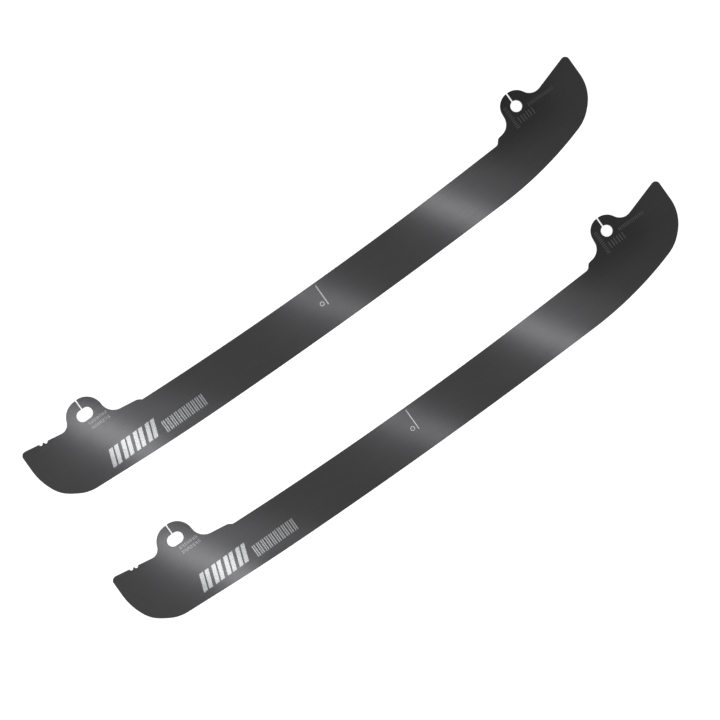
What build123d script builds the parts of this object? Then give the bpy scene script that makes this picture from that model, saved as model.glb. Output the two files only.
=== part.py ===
from build123d import *
import os
from math import sqrt

# A pair of ice-hockey skate runners, the removable steels that clip into the holders under a
# pair of skates. Each is one piece of steel, with a hollow-ground ice edge along one side and two
# eared lugs with split eyes along the other. Both are the same, and each fits either skate.
# They lie flat, side by side, toes to +X and ears to +Y.
# Millimetres, +Z up, origin on the underside, at the middle of the pair.
# A runner is drawn with x from the middle of its length, and y up from the ice edge's lowest point.

# Driving dimensions of one runner
LENGTH = 280.0
HEIGHT = 37.9
THICKNESS = 3.0
ROCKER_RADIUS = 2743.0     # nine feet, along the ice edge
HOLLOW_RADIUS = 12.7       # half an inch, across the ice edge
EDGE_BREAK = 0.15          # chamfer round the blank, which keeps the edges that aren't ground safe
GRIND_STOCK = 0.2          # ground off along the ice edge, so that its two edges end up sharp

# Heel eye: an oblong hole along X
HEEL_EYE_X = -108.7
HEEL_EYE_Y = 30.9
HEEL_EYE_LENGTH = 7.4
HEEL_EYE_WIDTH = 5.0

# Toe eye: a round hole
TOE_EYE_X = 110.8
TOE_EYE_Y = 31.3
TOE_EYE_DIAMETER = 4.9

# Each eye is slit up through its ear, so that the ear can spring over the holder's pin
SLIT_WIDTH = 0.65
HEEL_SLIT_X = -108.5
TOE_SLIT_X = 110.5

# The heel's top edge slopes down to the heel ear, and has two half-round notches
HEEL_TIP_Y = 33.1
HEEL_VALLEY_X = -117.9
HEEL_VALLEY_Y = 29.45
NOTCH_X = (-130.6, -128.4)
NOTCH_DIAMETER = 1.7

# How the pair lies: from one runner to the next, and how far the right one lies forward
PITCH = 63.7
STAGGER = 0.6


def upper_corners():
    """Corners above the ice edge, from the heel tip to the toe front, as (x, y, fillet radius)."""
    end = LENGTH / 2
    return [
        (-end, HEEL_TIP_Y, 2.0),                    # heel tip
        (HEEL_VALLEY_X, HEEL_VALLEY_Y, 4.1),        # valley behind the heel ear
        (-114.7, HEIGHT - 0.45, 7.8),               # heel ear, back shoulder
        (-100.9, HEIGHT + 0.5, 7.4),                # heel ear, front shoulder
        (-100.35, 25.3, 6.2),                       # valley ahead of the heel ear
        (-87.35, 23.4, 2.3),                        # heel step, top
        (-85.65, 22.25, 0.5),                       # heel step, foot
        (-3.0, 18.4, 1830.0),                       # long hollow of the top edge
        (95.2, 22.6, 2.0),                          # toe step, foot
        (96.9, 24.7, 1.4),                          # toe step, top
        (103.55, 25.8, 5.7),                        # valley behind the toe ear
        (104.65, HEIGHT, 6.5),                      # toe ear, back shoulder
        (114.8, HEIGHT, 6.4),                       # toe ear, front shoulder
        (118.9, 30.7, 5.2),                         # valley ahead of the toe ear
        (end, 37.3, 2.0),                           # toe tip
        (end, 20.4, 18.0),                          # toe front
    ]


def ice_edge_corners():
    """Corners of the finished ice edge, from the low toe to the high heel."""
    return [
        (131.7, 10.3, 20.0),                        # toe, low
        (104.0, 2.0, 160.0),                        # sweep up to the toe
        (4.3, -0.757, ROCKER_RADIUS),                # rocker, the stretch that skates
        (-83.2, 1.0, 1080.0),                       # flare from the rocker to the heel
        (-126.1, 3.5, 17.0),                        # heel, low
        (-135.7, 9.5, 14.5),                        # heel, middle
    ]


def heel_back_corner():
    return (-LENGTH / 2, 19.0, 26.5)


def with_grind_stock(corners):
    """The ice edge before it is ground, lower all along by the stock."""
    return [(x, y - GRIND_STOCK, radius) for x, y, radius in corners]


def fillet_line(corners, close=False):
    """A line through corners, each rounded to its own radius. An open line's ends stay sharp."""
    points = [(x, y) for x, y, radius in corners]
    used = corners if close else corners[1:-1]
    radii = [radius for x, y, radius in used]
    return FilletPolyline(*points, radius=radii, close=close)


def blank():
    """The plate before its holes are cut and its ice edge is ground, with all its edges broken."""
    corners = upper_corners() + with_grind_stock(ice_edge_corners()) + [heel_back_corner()]
    plate = extrude(make_face(fillet_line(corners, close=True)), THICKNESS)
    faces = plate.faces().sort_by(Axis.Z)
    rim = faces[0].edges() + faces[-1].edges()
    return chamfer(rim, EDGE_BREAK)


def through(sketch):
    """A cutter with the sketch's outline, longer than the plate is thick."""
    return extrude(Pos(0, 0, -THICKNESS) * sketch, 3 * THICKNESS)


def slit(x, y):
    """The slit from an eye up through the top of its ear."""
    height = 2 * (HEIGHT - y)
    return through(Pos(x, y + height / 2) * Rectangle(SLIT_WIDTH, height))


def heel_eye():
    eye = SlotOverall(HEEL_EYE_LENGTH, HEEL_EYE_WIDTH)
    return through(Pos(HEEL_EYE_X, HEEL_EYE_Y) * eye) + slit(HEEL_SLIT_X, HEEL_EYE_Y)


def toe_eye():
    eye = Circle(TOE_EYE_DIAMETER / 2)
    return through(Pos(TOE_EYE_X, TOE_EYE_Y) * eye) + slit(TOE_SLIT_X, TOE_EYE_Y)


def notches():
    """Half-round notches, centred on the line of the heel's top edge."""
    slope = (HEEL_VALLEY_Y - HEEL_TIP_Y) / (HEEL_VALLEY_X + LENGTH / 2)
    round_bars = [
        through(Pos(x, HEEL_TIP_Y + slope * (x + LENGTH / 2)) * Circle(NOTCH_DIAMETER / 2))
        for x in NOTCH_X
    ]
    return Compound(round_bars)


def hollow():
    """What the grinding wheel takes away: a bar with a convex top, swept along the ice edge.
    It runs off the blank at the toe and at the heel, where the wheel leaves the steel."""
    toe_front = upper_corners()[-1]
    corners = [toe_front] + ice_edge_corners()
    path = Pos(0, 0, THICKNESS / 2) * fillet_line(corners)
    overhang = 0.4
    half = THICKNESS / 2 + overhang
    centre = -sqrt(HOLLOW_RADIUS**2 - (THICKNESS / 2) ** 2)
    shoulder = centre + sqrt(HOLLOW_RADIUS**2 - half**2)
    below = -5 * GRIND_STOCK
    crown = ThreePointArc((-half, shoulder), (0, centre + HOLLOW_RADIUS), (half, shoulder))
    sides = Polyline((half, shoulder), (half, below), (-half, below), (-half, shoulder))
    section = Plane(origin=path @ 0, x_dir=(0, 0, 1), z_dir=path % 0)
    return sweep(section * make_face(crown + sides), path=path)


def runner():
    return blank() - heel_eye() - toe_eye() - notches() - hollow()


def main():
    os.makedirs("parts", exist_ok=True)
    steel = runner()
    left = Pos(-STAGGER / 2, PITCH / 2 - HEIGHT / 2, 0) * steel
    right = Pos(STAGGER / 2, -PITCH / 2 - HEIGHT / 2, 0) * steel
    export_step(left, "parts/left_runner.step")
    export_step(right, "parts/right_runner.step")


main()
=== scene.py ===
import math

import bmesh
import bpy
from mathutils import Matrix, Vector
from mathutils.geometry import delaunay_2d_cdt


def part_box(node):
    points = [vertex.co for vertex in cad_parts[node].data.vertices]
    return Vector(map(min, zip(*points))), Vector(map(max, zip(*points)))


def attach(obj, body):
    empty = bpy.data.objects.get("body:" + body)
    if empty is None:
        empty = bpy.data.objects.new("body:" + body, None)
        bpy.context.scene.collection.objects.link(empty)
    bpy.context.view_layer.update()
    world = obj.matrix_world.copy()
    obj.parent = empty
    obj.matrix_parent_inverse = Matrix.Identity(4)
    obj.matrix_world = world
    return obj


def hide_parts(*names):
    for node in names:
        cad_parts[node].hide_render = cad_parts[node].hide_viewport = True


# A pair of ice-hockey skate runners on a light table, toes to +X and ears to +Y, lit by strip softboxes.
# Blender's lengths are metres. A runner is drawn in millimetres in its own plane: x from the middle
# of its length towards the toe, y up from the lowest point of its ice edge, z up from its lower side.

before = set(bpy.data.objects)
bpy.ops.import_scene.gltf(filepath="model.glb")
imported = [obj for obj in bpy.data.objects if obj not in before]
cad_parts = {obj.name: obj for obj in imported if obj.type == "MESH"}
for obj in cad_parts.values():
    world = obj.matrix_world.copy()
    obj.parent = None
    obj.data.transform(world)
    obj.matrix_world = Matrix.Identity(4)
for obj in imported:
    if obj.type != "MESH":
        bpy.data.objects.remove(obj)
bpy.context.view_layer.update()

MM = 0.001
RUNNERS = ("left_runner", "right_runner")

# Sizes of one runner, in millimetres. The frame gives its length, height and thickness.
LOW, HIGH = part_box(RUNNERS[0])
LENGTH = (HIGH.x - LOW.x) / MM
HEIGHT = (HIGH.y - LOW.y) / MM
THICKNESS = (HIGH.z - LOW.z) / MM
ROCKER_RADIUS = 2743.0
HOLLOW_RADIUS = 12.7
EDGE_BREAK = 0.15           # radius on the edges that the wheel doesn't grind
HEEL_EYE = dict(x=-108.7, y=30.9, length=7.4, width=5.0, slit_x=-108.5)
TOE_EYE = dict(x=110.8, y=31.3, length=4.9, width=4.9, slit_x=110.5)
SLIT_WIDTH = 0.65
NOTCH_X = (-130.6, -128.4)
NOTCH_DIAMETER = 1.7
MARK_DEPTH = 0.03           # how deep the laser cuts the marks

# Between these distances from the middle of the length, the sharpening wheel lifts off the steel
WHEEL_LIFTS_AT_TOE = (131.0, 136.5)
WHEEL_LIFTS_AT_HEEL = (131.0, 135.5)
WHEEL_TOP_Y = 17.0          # it grinds nothing above this height

# How finely the steel is drawn, in millimetres
CHORD_ERROR = 0.002         # between an arc and its straight steps
CLOSEST_POINTS = 1e-4       # nearer points of the outline are taken as one
WALL_STEPS = 7              # across the plate's edge, between its two broken corners
LONGEST_MITRE = 2.0         # how many times its inset a sharp corner may move inwards
SHARP_EDGE = math.radians(40)

# The camera looks straight down at a point in the left runner's plane, given in that runner's own
# millimetres, from so far off that the sides of the plates hardly show
CAMERA_HEIGHT = 1.5
VIEW_WIDTH = 0.29788
VIEW_TURN = math.radians(35.45)
VIEW_FROM_LEFT_RUNNER = (-2.79, -16.78)


def srgb(hex_code):
    """A linear colour from an sRGB hex code."""
    parts = [int(hex_code[i:i + 2], 16) / 255 for i in (1, 3, 5)]
    linear = [c / 12.92 if c <= 0.04045 else ((c + 0.055) / 1.055) ** 2.4 for c in parts]
    return (*linear, 1.0)


# ---------------------------------------------------------------- camera

def place(node, x, y, z=0.0):
    """A point of a runner, in the frame: its millimetres counted from the CAD node's box."""
    low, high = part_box(node)
    return Vector(((low.x + high.x) / 2 + x * MM, low.y + y * MM, low.z + z * MM))


def make_camera():
    """Looks straight down at the pair, turned so that the runners rise to the right."""
    target = place(RUNNERS[0], *VIEW_FROM_LEFT_RUNNER, THICKNESS)
    data = bpy.data.cameras.new("camera")
    data.lens = data.sensor_width * CAMERA_HEIGHT / VIEW_WIDTH
    data.clip_start = 0.05
    data.clip_end = 50.0
    camera = bpy.data.objects.new("camera", data)
    camera.location = target + Vector((0, 0, CAMERA_HEIGHT))
    camera.rotation_euler = (0, 0, -VIEW_TURN)
    bpy.context.scene.collection.objects.link(camera)
    bpy.context.scene.camera = camera
    return target


# ---------------------------------------------------------------- outline

def outline_corners():
    """The runner's corners, clockwise from the heel tip, as (x, y, fillet radius)."""
    end = LENGTH / 2
    return [
        (-end, 33.1, 2.0),                     # heel tip
        (-117.9, 29.45, 4.1),                  # valley behind the heel ear
        (-114.7, HEIGHT - 0.45, 7.8),          # heel ear, back shoulder
        (-100.9, HEIGHT + 0.5, 7.4),           # heel ear, front shoulder
        (-100.35, 25.3, 6.2),                  # valley ahead of the heel ear
        (-87.35, 23.4, 2.3),                   # heel step, top
        (-85.65, 22.25, 0.5),                  # heel step, foot
        (-3.0, 18.4, 1830.0),                  # long hollow of the top edge
        (95.2, 22.6, 2.0),                     # toe step, foot
        (96.9, 24.7, 1.4),                     # toe step, top
        (103.55, 25.8, 5.7),                   # valley behind the toe ear
        (104.65, HEIGHT, 6.5),                 # toe ear, back shoulder
        (114.8, HEIGHT, 6.4),                  # toe ear, front shoulder
        (118.9, 30.7, 5.2),                    # valley ahead of the toe ear
        (end, 37.3, 2.0),                      # toe tip
        (end, 20.4, 18.0),                     # toe front
        (131.7, 10.3, 20.0),                   # toe, low
        (104.0, 2.0, 160.0),                   # sweep up to the toe
        (4.3, -0.757, ROCKER_RADIUS),          # rocker, the stretch that skates
        (-83.2, 1.0, 1080.0),                  # flare from the rocker to the heel
        (-126.1, 3.5, 17.0),                   # heel, low
        (-135.7, 9.5, 14.5),                   # heel, middle
        (-end, 19.0, 26.5),                    # heel, back
    ]


def arc(centre, radius, start, turn):
    """Points along an arc, start and turn in radians, close enough together to look round."""
    step = 2 * math.acos(1 - CHORD_ERROR / radius)
    count = max(2, math.ceil(abs(turn) / step))
    angles = [start + turn * i / count for i in range(count + 1)]
    return [Vector((centre.x + radius * math.cos(a), centre.y + radius * math.sin(a))) for a in angles]


def filleted(corners):
    """The arcs of a closed outline, one list of points for each corner."""
    arcs = []
    for i, (x, y, radius) in enumerate(corners):
        corner = Vector((x, y))
        back = (Vector(corners[i - 1][:2]) - corner).normalized()
        on = (Vector(corners[(i + 1) % len(corners)][:2]) - corner).normalized()
        half = back.angle(on) / 2
        centre = corner + (back + on).normalized() * (radius / math.sin(half))
        start = corner + back * (radius / math.tan(half)) - centre
        end = corner + on * (radius / math.tan(half)) - centre
        first = math.atan2(start.y, start.x)
        turn = math.remainder(math.atan2(end.y, end.x) - first, math.tau)
        arcs.append(arc(centre, radius, first, turn))
    return arcs


def notch_points(heel_tip, valley):
    """The notches in the straight edge from the heel tip to the valley behind the heel ear."""
    slope = valley - heel_tip
    lean = math.atan2(slope.y, slope.x)
    points = []
    for x in NOTCH_X:
        centre = heel_tip + slope * ((x - heel_tip.x) / slope.x)
        points += arc(centre, NOTCH_DIAMETER / 2, math.pi + lean, math.pi)
    return points


def slit_sides(eye):
    """The x of the two sides of the slit above an eye."""
    return eye["slit_x"] - SLIT_WIDTH / 2, eye["slit_x"] + SLIT_WIDTH / 2


def eye_points(eye):
    """Down one side of the slit, round the eye and up the slit's other side."""
    radius = eye["width"] / 2
    straight = (eye["length"] - eye["width"]) / 2
    back_end = Vector((eye["x"] - straight, eye["y"]))
    front_end = Vector((eye["x"] + straight, eye["y"]))
    ring = arc(back_end, radius, math.pi / 2, math.pi) + arc(front_end, radius, -math.pi / 2, math.pi)
    back, front = slit_sides(eye)

    def mouth(x):
        off_end = max(0.0, abs(x - eye["x"]) - straight)
        return Vector((x, eye["y"] + math.sqrt(radius ** 2 - off_end ** 2)))

    kept = [p for p in ring if p.y < eye["y"] or not back - EDGE_BREAK < p.x < front + EDGE_BREAK]
    return [mouth(back)] + kept + [mouth(front)]


def split_ear(points, eye):
    """Opens the ear's top with the slit, so that the eye becomes part of the outline."""
    back, front = slit_sides(eye)

    def top(x):
        for a, b in zip(points, points[1:]):
            if a.x <= x <= b.x and a.y > eye["y"]:
                return a.lerp(b, (x - a.x) / (b.x - a.x))

    room = 2 * EDGE_BREAK
    over = [i for i, p in enumerate(points) if p.y > eye["y"] and back - room < p.x < front + room]
    slit = [top(back)] + eye_points(eye) + [top(front)]
    return points[:over[0]] + slit + points[over[-1] + 1:]


def runner_outline():
    """The whole outline, anticlockwise, with its notches, slits and eyes."""
    arcs = filleted(outline_corners())
    points = arcs[0] + notch_points(arcs[0][-1], arcs[1][0])
    for stretch in arcs[1:]:
        points += stretch
    points = split_ear(points, HEEL_EYE)
    points = split_ear(points, TOE_EYE)
    spaced = [p for p, q in zip(points, points[1:] + points[:1]) if (p - q).length > CLOSEST_POINTS]
    return spaced[::-1]


# ---------------------------------------------------------------- marks

def bar_row(pairs, x, y, height, stroke, gap, pair_gap, slant=0.0):
    """A row of bars in pairs, which stands where lettering would be. A mark is a list of loops."""
    lean = math.tan(slant) * height
    bars = []
    for pair in range(pairs):
        for foot in (x, x + stroke + gap):
            head = foot + lean
            top = y + height
            bars.append([[(foot, y), (foot + stroke, y), (head + stroke, top), (head, top)]])
        x += 2 * stroke + gap + pair_gap
    return bars


def turned(marks, x, y):
    """Marks turned a quarter turn anticlockwise about (x, y)."""
    return [[[(x - (q - y), y + (p - x)) for p, q in loop] for loop in mark] for mark in marks]


def ring_mark(x, y, outer, inner):
    """One round mark with a hole in it."""
    loops = []
    for radius in (outer, inner):
        loops.append([tuple(p) for p in arc(Vector((x, y)), radius, 0.0, math.tau)[:-1]])
    return [loops]


def bright_marks():
    """Marks where the laser clears the black coating down to the steel."""
    bold = bar_row(4, -111.7, 5.9, 7.4, 1.9, 0.75, 1.5, math.radians(20))
    slim = bar_row(10, -84.8, 4.9, 5.2, 0.48, 0.42, 0.72)
    upper_row = bar_row(7, -109.2, 26.1, 1.4, 0.1, 0.45, 0.65)
    lower_row = bar_row(7, -109.2, 23.9, 1.4, 0.1, 0.45, 0.65)
    centre_line = [[[(-0.17, 9.6), (0.27, 9.6), (0.27, 19.1), (-0.17, 19.1)]]]
    return bold + slim + upper_row + lower_row + centre_line + ring_mark(-2.05, 11.2, 1.0, 0.65)


def faint_marks():
    """Small marks where the laser only dulls the coating."""
    size = bar_row(3, 108.4, 24.3, 3.0, 0.35, 1.1, 0.9)
    serial = bar_row(8, 115.2, 28.15, 1.5, 0.25, 0.55, 0.55)
    upright = turned(bar_row(6, 107.2, 23.4, 1.6, 0.25, 0.6, 0.65), 107.2, 23.4)
    return size + serial + upright


# ---------------------------------------------------------------- mesh of a runner

def smooth_step(x, start, end):
    """Eases from 0 at the start to 1 at the end."""
    t = min(1.0, max(0.0, (x - start) / (end - start)))
    return t * t * (3 - 2 * t)


def ground_share(point):
    """1 where the wheel has ground the ice edge, 0 where the edge is only broken, easing in between."""
    if point.y > WHEEL_TOP_Y:
        return 0.0
    lifts = WHEEL_LIFTS_AT_TOE if point.x > 0 else WHEEL_LIFTS_AT_HEEL
    return 1 - smooth_step(abs(point.x), *lifts)


def rim_profile(share):
    """How the plate's edge runs from its lower to its upper side, as (distance inwards, z)."""
    half = THICKNESS / 2
    corner = [(EDGE_BREAK * (1 - math.sin(a)), EDGE_BREAK * (1 - math.cos(a)))
              for a in (0.0, math.pi / 6, math.pi / 3, math.pi / 2)]
    wall = THICKNESS - 2 * EDGE_BREAK
    levels = [EDGE_BREAK + wall * i / WALL_STEPS for i in range(1, WALL_STEPS)]
    broken = corner + [(0.0, z) for z in levels] + [(inset, THICKNESS - z) for inset, z in corner[::-1]]
    rows = len(broken) - 1
    profile = []
    for i, (inset, z) in enumerate(broken):
        across = THICKNESS * i / rows
        depth = math.sqrt(HOLLOW_RADIUS ** 2 - (across - half) ** 2)
        depth -= math.sqrt(HOLLOW_RADIUS ** 2 - half ** 2)
        profile.append((inset + (depth - inset) * share, z + (across - z) * share))
    return profile


def inward_normals(outline):
    """The way into the steel at each point of an anticlockwise outline, longer at a sharp corner."""
    normals = []
    for i, point in enumerate(outline):
        back = (point - outline[i - 1]).normalized()
        on = (outline[(i + 1) % len(outline)] - point).normalized()
        normal = (Vector((-back.y, back.x)) + Vector((-on.y, on.x))).normalized()
        square = Vector((-on.y, on.x))
        normals.append(normal / max(1 / LONGEST_MITRE, normal.dot(square)))
    return normals


def fill(loops):
    """Triangles that fill the first loop, each with the numbers of the loops that it lies in."""
    points, faces = [], []
    for loop in loops:
        faces.append(list(range(len(points), len(points) + len(loop))))
        points += [Vector(p) for p in loop]
    inside_only, merge_distance, with_sources = 1, 1e-7, True
    result = delaunay_2d_cdt(points, [], faces, inside_only, merge_distance, with_sources)
    _, _, triangles, sources, _, owners = result
    steel = [(triangle, owner) for triangle, owner in zip(triangles, owners) if 0 in owner]
    return [([sources[v][0] for v in triangle], owner) for triangle, owner in steel]


# The numbers of a runner's finishes in its list of materials
BLACK, GROUND, BRIGHT, FAINT = range(4)


def build_rim(bm):
    """The plate's edge all the way round, as a ring of vertices at each point of the outline."""
    outline = runner_outline()
    shares = [ground_share(p) for p in outline]
    rings = []
    for point, normal, share in zip(outline, inward_normals(outline), shares):
        ring = []
        for inset, z in rim_profile(share):
            spot = point + normal * inset
            ring.append(bm.verts.new((spot.x, spot.y, z)))
        rings.append(ring)

    for i, ring in enumerate(rings):
        following = rings[(i + 1) % len(rings)]
        ground = shares[i] + shares[(i + 1) % len(rings)] > 1.0
        for row in range(len(ring) - 1):
            face = bm.faces.new((ring[row], following[row], following[row + 1], ring[row + 1]))
            face.smooth = True
            face.material_index = GROUND if ground else BLACK
    return rings


def build_upper_side(bm, upper):
    """The side that shows, with the laser marks sunk into it."""
    marks = [(mark, BRIGHT) for mark in bright_marks()] + [(mark, FAINT) for mark in faint_marks()]
    loops = [[v.co.xy for v in upper]]
    tops = list(upper)
    floors = list(upper)
    mark_of_loop = {}
    for number, (mark, finish) in enumerate(marks):
        for loop in mark:
            mark_of_loop[len(loops)] = number
            loops.append([Vector(p) for p in loop])
            rim = [bm.verts.new((x, y, THICKNESS)) for x, y in loop]
            bed = [bm.verts.new((x, y, THICKNESS - MARK_DEPTH)) for x, y in loop]
            for i in range(len(loop)):
                wall = bm.faces.new((rim[i - 1], rim[i], bed[i], bed[i - 1]))
                wall.material_index = finish
            tops += rim
            floors += bed
    for triangle, owners in fill(loops):
        inside = [mark_of_loop[o] for o in owners if o in mark_of_loop]
        if len(inside) % 2:
            face = bm.faces.new([floors[i] for i in triangle])
            face.material_index = marks[inside[0]][1]
        else:
            bm.faces.new([tops[i] for i in triangle])


def build_runner(node, materials):
    """One runner: a plate with broken edges, a hollow-ground ice edge and marks on its upper side."""
    bm = bmesh.new()
    rings = build_rim(bm)
    lower = [ring[0] for ring in rings]
    upper = [ring[-1] for ring in rings]
    for triangle, _ in fill([[v.co.xy for v in lower]]):
        bm.faces.new([lower[i] for i in triangle[::-1]])
    build_upper_side(bm, upper)

    bmesh.ops.recalc_face_normals(bm, faces=bm.faces)
    for side in (lower, upper):
        for a, b in zip(side, side[1:] + side[:1]):
            bm.edges.get((a, b)).smooth = False
    for edge in bm.edges:
        if edge.calc_face_angle(0.0) > SHARP_EDGE:
            edge.smooth = False
    corner = place(node, 0.0, 0.0)
    for vert in bm.verts:
        vert.co = corner + vert.co * MM
    mesh = bpy.data.meshes.new(node + "_steel")
    bm.to_mesh(mesh)
    bm.free()
    for material in materials:
        mesh.materials.append(material)
    piece = bpy.data.objects.new(node + "_steel", mesh)
    bpy.context.scene.collection.objects.link(piece)
    return piece


# ---------------------------------------------------------------- materials

def add_node(tree, kind, settings=None, **inputs):
    """Adds a shader node. Settings are its own properties. An input is a value, or an output to link."""
    node = tree.nodes.new(kind)
    for name, value in (settings or {}).items():
        setattr(node, name, value)
    for name, value in inputs.items():
        socket = node.inputs[name.replace("_", " ")]
        if isinstance(value, bpy.types.NodeSocket):
            tree.links.new(value, socket)
        else:
            socket.default_value = value
    return node


def new_material(name):
    """A material and its empty node tree."""
    material = bpy.data.materials.new(name)
    material.use_nodes = True
    tree = material.node_tree
    tree.nodes.clear()
    return material, tree


def where_on_piece(tree):
    """The pattern's place on the piece, which moves with it."""
    return add_node(tree, "ShaderNodeTexCoord").outputs["Object"]


def grinding_lines(tree, where, length, spacing, detail):
    """Noise drawn out along the runner into lines, with their length and spacing in millimetres."""
    across = 1 / (spacing * MM)
    along = add_node(tree, "ShaderNodeMapping", Vector=where, Scale=(1 / (length * MM), across, across))
    lines = add_node(tree, "ShaderNodeTexNoise", Vector=along.outputs["Vector"], Scale=1.0, Detail=detail)
    return lines.outputs["Fac"]


def tone_ramp(tree, pattern, dark, light, low=0.0, high=1.0):
    """Two colours, with the dark one where the pattern is low and the light one where it is high."""
    ramp = add_node(tree, "ShaderNodeValToRGB", Fac=pattern)
    dark_end, light_end = ramp.color_ramp.elements
    dark_end.position = low
    dark_end.color = srgb(dark)
    light_end.position = high
    light_end.color = srgb(light)
    return ramp.outputs["Color"]


def steel_shader(tree, colour, roughness, **more):
    """Bare or coated steel, which is metallic all over."""
    shader = add_node(tree, "ShaderNodeBsdfPrincipled", Base_Color=colour, Metallic=1.0,
                      Roughness=roughness, **more)
    add_node(tree, "ShaderNodeOutputMaterial", Surface=shader.outputs["BSDF"])


def black_pvd_on_surface_ground_steel():
    """Black vapour-deposited coating on surface-ground carbon steel. It looks like dark satin metal:
    lamps show in it as soft bands, with a fine speckle and faint grinding lines along the runner."""
    material, tree = new_material("black_pvd_on_surface_ground_steel")
    where = where_on_piece(tree)
    # Speckle of 0.1 mm pits, drawn 0.6 mm across so that it shows
    speckle = add_node(tree, "ShaderNodeTexNoise", Vector=where, Scale=1 / (0.6 * MM), Detail=2.0,
                       Roughness=0.6)
    # Grinding lines 0.05 mm apart, drawn 0.35 mm apart so that they show, and 12 mm long
    lines = grinding_lines(tree, where, 12, 0.35, 3.0)
    # The coating's sheen drifts over 40 mm
    cloud = add_node(tree, "ShaderNodeTexNoise", Vector=where, Scale=1 / (40 * MM), Detail=1.0)
    grain = add_node(tree, "ShaderNodeMix", Factor=0.35, A=speckle.outputs["Fac"], B=lines)
    colour = tone_ramp(tree, grain.outputs["Result"], "#333334", "#3e3e3f", 0.3, 0.7)
    satin = add_node(tree, "ShaderNodeMapRange", Value=cloud.outputs["Fac"], To_Min=0.155, To_Max=0.175)
    bump = add_node(tree, "ShaderNodeBump", Height=grain.outputs["Result"], Strength=0.3,
                    Distance=0.003 * MM)
    steel_shader(tree, colour, satin.outputs["Result"], Normal=bump.outputs["Normal"])
    return material


def wheel_ground_bare_steel():
    """Bare carbon steel straight from the sharpening wheel: pale and bright, with fine scratches along
    the edge that blur what shows in it."""
    material, tree = new_material("wheel_ground_bare_steel")
    # Scratches 0.03 mm apart, drawn 0.3 mm apart so that they show, and 8 mm long
    lines = grinding_lines(tree, where_on_piece(tree), 8, 0.3, 2.0)
    colour = tone_ramp(tree, lines, "#8f9091", "#bebfc0", 0.3, 0.7)
    satin = add_node(tree, "ShaderNodeMapRange", Value=lines, To_Min=0.24, To_Max=0.38)
    bump = add_node(tree, "ShaderNodeBump", Height=lines, Strength=0.4, Distance=0.01 * MM)
    steel_shader(tree, colour, satin.outputs["Result"], Normal=bump.outputs["Normal"])
    return material


def laser_rastered(name, dark, light, rough_low, rough_high):
    """What a laser has gone over line by line, with a fine hatch where its passes lie side by side."""
    material, tree = new_material(name)
    # Raster lines 0.05 mm apart, drawn 0.2 mm apart so that they show. A wave's phase is 20 x scale x y.
    raster = add_node(tree, "ShaderNodeTexWave", {"bands_direction": "Y"}, Vector=where_on_piece(tree),
                      Scale=math.tau / (20 * 0.2 * MM), Distortion=1.5, Detail=2.0)
    colour = tone_ramp(tree, raster.outputs["Fac"], dark, light)
    matt = add_node(tree, "ShaderNodeMapRange", Value=raster.outputs["Fac"], To_Min=rough_low,
                    To_Max=rough_high)
    steel_shader(tree, colour, matt.outputs["Result"])
    return material


def laser_cleared_bare_steel():
    """Steel bared where the laser burns the coating off: light grey, and bright where a lamp shows."""
    return laser_rastered("laser_cleared_bare_steel", "#6f7071", "#818283", 0.18, 0.22)


def laser_dulled_black_coating():
    """Coating that the laser has only roughened: a matt dark grey, a little paler than the black."""
    return laser_rastered("laser_dulled_black_coating", "#49494a", "#595a5b", 0.4, 0.5)


# ---------------------------------------------------------------- light table and lamps

def opal_acrylic_light_table():
    """Opal acrylic sheet lit from below: plain, matt and almost white, with hardly any shadow on it."""
    material, tree = new_material("opal_acrylic_light_table")
    # Haze that drifts over 125 mm
    haze = add_node(tree, "ShaderNodeTexNoise", Vector=where_on_piece(tree), Scale=1 / (125 * MM),
                    Detail=1.0)
    colour = tone_ramp(tree, haze.outputs["Fac"], "#b8b8b8", "#c0c0c0")
    shader = add_node(tree, "ShaderNodeBsdfPrincipled", Base_Color=colour, Roughness=0.6,
                      Emission_Color=srgb("#ffffff"), Emission_Strength=0.85)
    add_node(tree, "ShaderNodeOutputMaterial", Surface=shader.outputs["BSDF"])
    return material


TABLE_REACH = 6.0           # so far each way that its edges never show
TABLE_GAP = 0.2 * MM        # how far its top lies under the runners


def make_table():
    mesh = bpy.data.meshes.new("light_table")
    far = TABLE_REACH
    corners = [(-far, -far), (far, -far), (far, far), (-far, far)]
    mesh.from_pydata([(x, y, -TABLE_GAP) for x, y in corners], [], [(0, 1, 2, 3)])
    mesh.materials.append(opal_acrylic_light_table())
    table = bpy.data.objects.new("light_table", mesh)
    bpy.context.scene.collection.objects.link(table)


SOFTBOX_HEIGHT = 0.16

# What the lamps over each runner look like in it, in millimetres. A strip has the x where it crosses
# the high line, the x where it crosses the low line, its width, where it starts and ends in y, and
# its radiance.
STRIP_HIGH_Y = 19.0
STRIP_LOW_Y = 2.0
STRIPS = [
    (-105.0, -95.0, 8.0, -8.0, 37.0, 10.8),     # key strip over the heel
    (-87.0, -71.5, 14.0, -16.0, 30.0, 1.9),     # its spill towards the toe
    (-118.0, -110.0, 14.0, -8.0, 32.0, 1.0),    # its spill towards the heel
    (-5.5, 6.0, 8.0, -8.0, 30.0, 5.8),          # middle strip
    (-19.0, -9.0, 14.0, -8.0, 30.0, 0.9),       # its spill
    (60.5, 71.0, 6.5, -8.0, 30.0, 10.2),        # key strip over the toe
    (77.5, 91.0, 14.0, -12.0, 30.0, 1.3),       # its spill
]
# A wide panel has x from and to, y from and to, and its radiance
PANELS = [
    (-180.0, -120.0, -20.0, 43.0, 0.82),        # heel tip
    (-120.0, 90.0, -20.0, 43.0, 0.66),          # heel and middle
    (90.0, 124.0, -20.0, 18.0, 0.52),           # ice edge below the toe ear
    (124.0, 175.0, -20.0, 43.0, 0.4),           # toe tip
]


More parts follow.
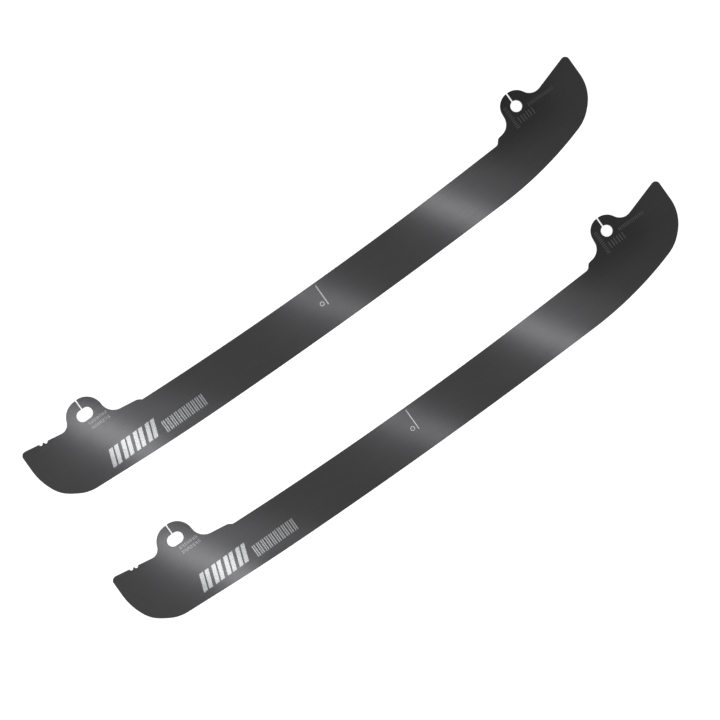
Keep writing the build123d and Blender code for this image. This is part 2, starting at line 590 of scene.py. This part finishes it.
def lamp(name, location, rotation, length, width, radiance):
    """A rectangular soft lamp that shines along its own -Z."""
    data = bpy.data.lights.new(name, "AREA")
    data.shape = "RECTANGLE"
    data.size = length
    data.size_y = width
    data.energy = radiance * math.pi * length * width
    soft = bpy.data.objects.new(name, data)
    soft.location = location
    soft.rotation_euler = rotation
    soft.visible_camera = False
    bpy.context.scene.collection.objects.link(soft)


def mirrored_lamp(name, shown_at, turn, length, width, radiance, view_point):
    """A lamp overhead that the camera sees reflected at a given place in the runners' upper sides."""
    stretch = (CAMERA_HEIGHT + SOFTBOX_HEIGHT) / CAMERA_HEIGHT
    spot = view_point + (shown_at - view_point) * stretch + Vector((0, 0, SOFTBOX_HEIGHT))
    lamp(name, spot, (0, 0, turn), length * MM * stretch, width * MM * stretch, radiance)


def make_overhead_lamps(view_point):
    """The same strips and panels over each runner, so that each shows the same three slanted bands."""
    rise = STRIP_HIGH_Y - STRIP_LOW_Y
    for node in RUNNERS:
        for number, (x_high, x_low, width, y_from, y_to, radiance) in enumerate(STRIPS):
            turn = math.atan2(rise, x_high - x_low)
            y = (y_from + y_to) / 2
            x = x_low + (y - STRIP_LOW_Y) * (x_high - x_low) / rise
            length = (y_to - y_from) / math.sin(turn)
            spot = place(node, x, y, THICKNESS)
            mirrored_lamp(f"{node}_strip_{number}", spot, turn, length, width, radiance, view_point)
        for number, (x_from, x_to, y_from, y_to, radiance) in enumerate(PANELS):
            length, width = x_to - x_from, y_to - y_from
            spot = place(node, (x_from + x_to) / 2, (y_from + y_to) / 2, THICKNESS)
            mirrored_lamp(f"{node}_panel_{number}", spot, 0.0, length, width, radiance, view_point)


# Softboxes beside the table: where they are from the middle of the view, in metres, and their radiance
SIDE_SOFTBOX_SIZE = 0.5
SIDE_SOFTBOXES = [
    ("left_softbox", (-0.95, 0.6, 0.5), 1.0),
    ("right_softbox", (0.95, -0.6, 0.32), 0.5),
]


def make_side_lamps(view_point):
    """Two softboxes beside the table, which show in the runners only from low down."""
    for name, offset, radiance in SIDE_SOFTBOXES:
        towards = Vector(offset)
        facing = (-towards).to_track_quat("-Z", "Y").to_euler()
        lamp(name, view_point + towards, facing, SIDE_SOFTBOX_SIZE, SIDE_SOFTBOX_SIZE, radiance)


def make_surroundings():
    """A room with white walls and a dim ceiling."""
    world = bpy.data.worlds.new("white_room")
    world.use_nodes = True
    tree = world.node_tree
    tree.nodes.clear()
    direction = add_node(tree, "ShaderNodeTexCoord").outputs["Generated"]
    height = add_node(tree, "ShaderNodeSeparateXYZ", Vector=direction).outputs["Z"]
    light = add_node(tree, "ShaderNodeMapRange", {"interpolation_type": "SMOOTHSTEP"}, Value=height,
                     From_Min=0.1, From_Max=0.8, To_Min=1.0, To_Max=0.5)
    room = add_node(tree, "ShaderNodeBackground", Color=srgb("#ffffff"), Strength=light.outputs["Result"])
    add_node(tree, "ShaderNodeOutputWorld", Surface=room.outputs["Background"])
    bpy.context.scene.world = world
    bpy.context.scene.view_settings.view_transform = "Standard"


def main():
    view_point = make_camera()
    materials = [
        black_pvd_on_surface_ground_steel(),
        wheel_ground_bare_steel(),
        laser_cleared_bare_steel(),
        laser_dulled_black_coating(),
    ]
    for node in RUNNERS:
        piece = build_runner(node, materials)
        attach(piece, node)
        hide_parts(node)
    make_table()
    make_overhead_lamps(view_point)
    make_side_lamps(view_point)
    make_surroundings()


main()
